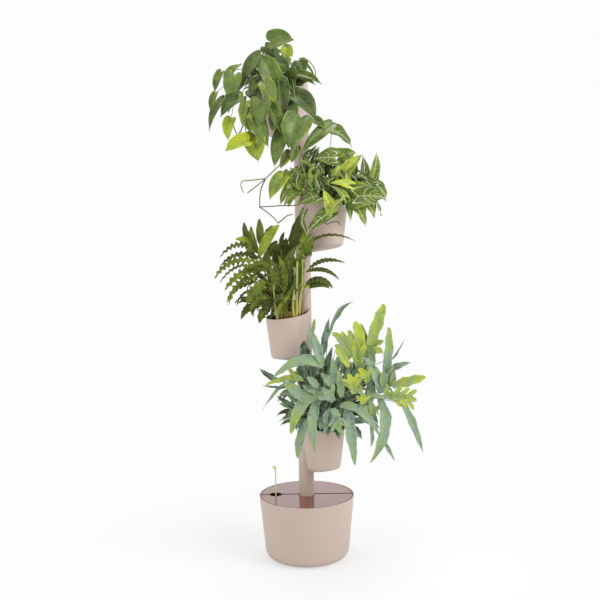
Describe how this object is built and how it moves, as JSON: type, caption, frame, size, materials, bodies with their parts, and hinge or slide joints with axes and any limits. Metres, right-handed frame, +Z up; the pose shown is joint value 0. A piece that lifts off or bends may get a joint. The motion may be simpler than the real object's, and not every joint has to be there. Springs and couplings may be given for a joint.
{
  "type": "vertical planter tower",
  "caption": "Free-standing planter tower: round water tank with split lid, central column and planted pots that turn round it, with a float gauge.",
  "frame": {"origin": "on the column's axis, on the floor under the feet", "axes": "+Z up along the column, -Y towards the front, +X to the right seen from the front"},
  "size_m": [0.6526, 0.3552, 1.6397],
  "materials": {
    "greige_plastic": "fine matt moulded plastic",
    "lid_brown": "polished dark reddish brown plastic",
    "gauge_lime": "smooth lime green plastic",
    "pump_black": "matt black plastic",
    "foot_rubber": "soft black rubber",
    "hose_rubber": "milky soft hose",
    "wick_fabric": "white felted strip",
    "potting_soil": "loose dark potting soil",
    "heart_leaf_green": "waxy living leaf",
    "arrowhead_green": "pale veined living leaf",
    "wavy_leaf_green": "satin living leaf",
    "fern_blue_green": "powdery blue green living leaf"
  },
  "bodies": {
    "base": {"tub": "greige_plastic", "tub_feet": "foot_rubber", "cable_gland": "foot_rubber", "column_foot": "greige_plastic", "base_column": "greige_plastic", "pump_body": "pump_black", "pump_cover": "pump_black", "pump_feet": "foot_rubber", "riser_hose": "hose_rubber", "drip_head": "pump_black", "gauge_guide": "greige_plastic"},
    "front_lid": {"lid_front": "lid_brown"},
    "back_lid": {"lid_back": "lid_brown"},
    "level_gauge": {"gauge_rod": "gauge_lime", "gauge_float": "gauge_lime"},
    "level_1": {"pot_1": "greige_plastic", "water_ring_1": "pump_black", "wick_1": "wick_fabric", "soil_1": "potting_soil", "column_tube_1": "greige_plastic", "strap_fern": "fern_blue_green"},
    "level_2": {"pot_2": "greige_plastic", "water_ring_2": "pump_black", "wick_2": "wick_fabric", "soil_2": "potting_soil", "column_tube_2": "greige_plastic", "wavy_leaf_plant": "wavy_leaf_green"},
    "level_3": {"pot_3": "greige_plastic", "water_ring_3": "pump_black", "wick_3": "wick_fabric", "soil_3": "potting_soil", "column_tube_3": "greige_plastic", "arrowhead_plant": "arrowhead_green"},
    "level_4": {"pot_4": "greige_plastic", "water_ring_4": "pump_black", "wick_4": "wick_fabric", "soil_4": "potting_soil", "column_cap": "greige_plastic", "heart_leaf_plant": "heart_leaf_green"}
  },
  "joints": [
    {"name": "front_lid_lift", "type": "slide", "parent": "base", "child": "front_lid", "axis": [0, 0, 1], "range_m": [0, 0.055]},
    {"name": "back_lid_lift", "type": "slide", "parent": "base", "child": "back_lid", "axis": [0, 0, 1], "range_m": [0, 0.055]},
    {"name": "gauge_float_travel", "type": "slide", "parent": "base", "child": "level_gauge", "axis": [0, 0, 1], "range_m": [-0.068, 0.07]},
    {"name": "level_1_turn", "type": "hinge", "parent": "base", "child": "level_1", "pos_m": [0, 0, 0.266], "axis": [0, 0, 1], "continuous": true, "deforming": ["strap_fern"]},
    {"name": "level_2_turn", "type": "hinge", "parent": "level_1", "child": "level_2", "pos_m": [0, 0, 0.611], "axis": [0, 0, 1], "continuous": true, "deforming": ["wavy_leaf_plant"]},
    {"name": "level_3_turn", "type": "hinge", "parent": "level_2", "child": "level_3", "pos_m": [0, 0, 0.956], "axis": [0, 0, 1], "continuous": true, "deforming": ["arrowhead_plant"]},
    {"name": "level_4_turn", "type": "hinge", "parent": "level_3", "child": "level_4", "pos_m": [0, 0, 1.301], "axis": [0, 0, 1], "continuous": true, "deforming": ["heart_leaf_plant"]}
  ]
}
